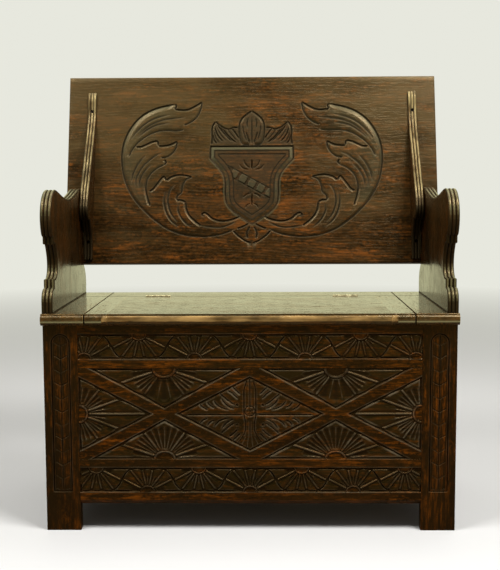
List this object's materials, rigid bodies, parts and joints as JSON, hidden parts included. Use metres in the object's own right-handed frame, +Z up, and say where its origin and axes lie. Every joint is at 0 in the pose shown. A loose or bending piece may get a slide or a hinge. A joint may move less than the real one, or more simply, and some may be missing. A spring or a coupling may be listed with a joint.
{
  "type": "settle bench",
  "caption": "Carved oak box settle with a lifting lid over a storage box and a back that tips over on pegs to rest on the arms as a table.",
  "frame": {"origin": "on the floor, below the middle of the overall box", "axes": "+Z up, +X to the right as seen from the front, +Y from the carved front to the back"},
  "size_m": [0.9176, 0.5372, 1.0006],
  "materials": {
    "carved_oak": "dark stained and waxed, with sunk carving nearly black",
    "side_oak": "dark stained and waxed",
    "inner_oak": "bare oak, aged",
    "seat_oak": "dark stained, polished by use",
    "arm_oak": "dark stained and polished",
    "back_oak": "dark stained with rusty streaks, satin polish",
    "hinge_brass": "tarnished",
    "screw_iron": "blackened"
  },
  "bodies": {
    "box": {"front_left_leg": "carved_oak", "front_right_leg": "carved_oak", "front_panel": "carved_oak", "front_top_rail": "carved_oak", "front_bottom_rail": "carved_oak", "rear_left_leg": "side_oak", "rear_right_leg": "side_oak", "rear_top_rail": "side_oak", "rear_bottom_rail": "side_oak", "rear_panel": "side_oak", "left_front_stile": "side_oak", "left_rear_stile": "side_oak", "left_top_rail": "side_oak", "left_bottom_rail": "side_oak", "left_panel": "side_oak", "right_front_stile": "side_oak", "right_rear_stile": "side_oak", "right_top_rail": "side_oak", "right_bottom_rail": "side_oak", "right_panel": "side_oak", "front_floor_batten": "inner_oak", "rear_floor_batten": "inner_oak", "box_floor": "inner_oak", "left_seat_bearer": "inner_oak", "right_seat_bearer": "inner_oak", "seat_left_end_board": "seat_oak", "seat_right_end_board": "seat_oak", "seat_rear_board": "seat_oak", "left_arm": "arm_oak", "right_arm": "arm_oak", "left_pivot_peg": "arm_oak", "right_pivot_peg": "arm_oak", "left_hinge_seat_leaf": "hinge_brass", "left_hinge_pin": "hinge_brass", "right_hinge_seat_leaf": "hinge_brass", "right_hinge_pin": "hinge_brass"},
    "lid": {"lid_board": "seat_oak", "lid_left_clamp": "seat_oak", "lid_right_clamp": "seat_oak", "left_hinge_lid_leaf": "hinge_brass", "right_hinge_lid_leaf": "hinge_brass"},
    "top": {"table_top": "back_oak", "left_cleat": "arm_oak", "right_cleat": "arm_oak", "left_cleat_lower_screw": "screw_iron", "left_cleat_upper_screw": "screw_iron", "right_cleat_lower_screw": "screw_iron", "right_cleat_upper_screw": "screw_iron"}
  },
  "joints": [
    {"name": "lid_hinge", "type": "hinge", "parent": "box", "child": "lid", "pos_m": [0, 0.06737, 0.4655], "axis": [-1, 0, 0], "range_deg": [0, 45]},
    {"name": "top_tilt", "type": "hinge", "parent": "box", "child": "top", "pos_m": [0, 0.09862, 0.663], "axis": [1, 0, 0], "range_deg": [0, 104.63]}
  ]
}
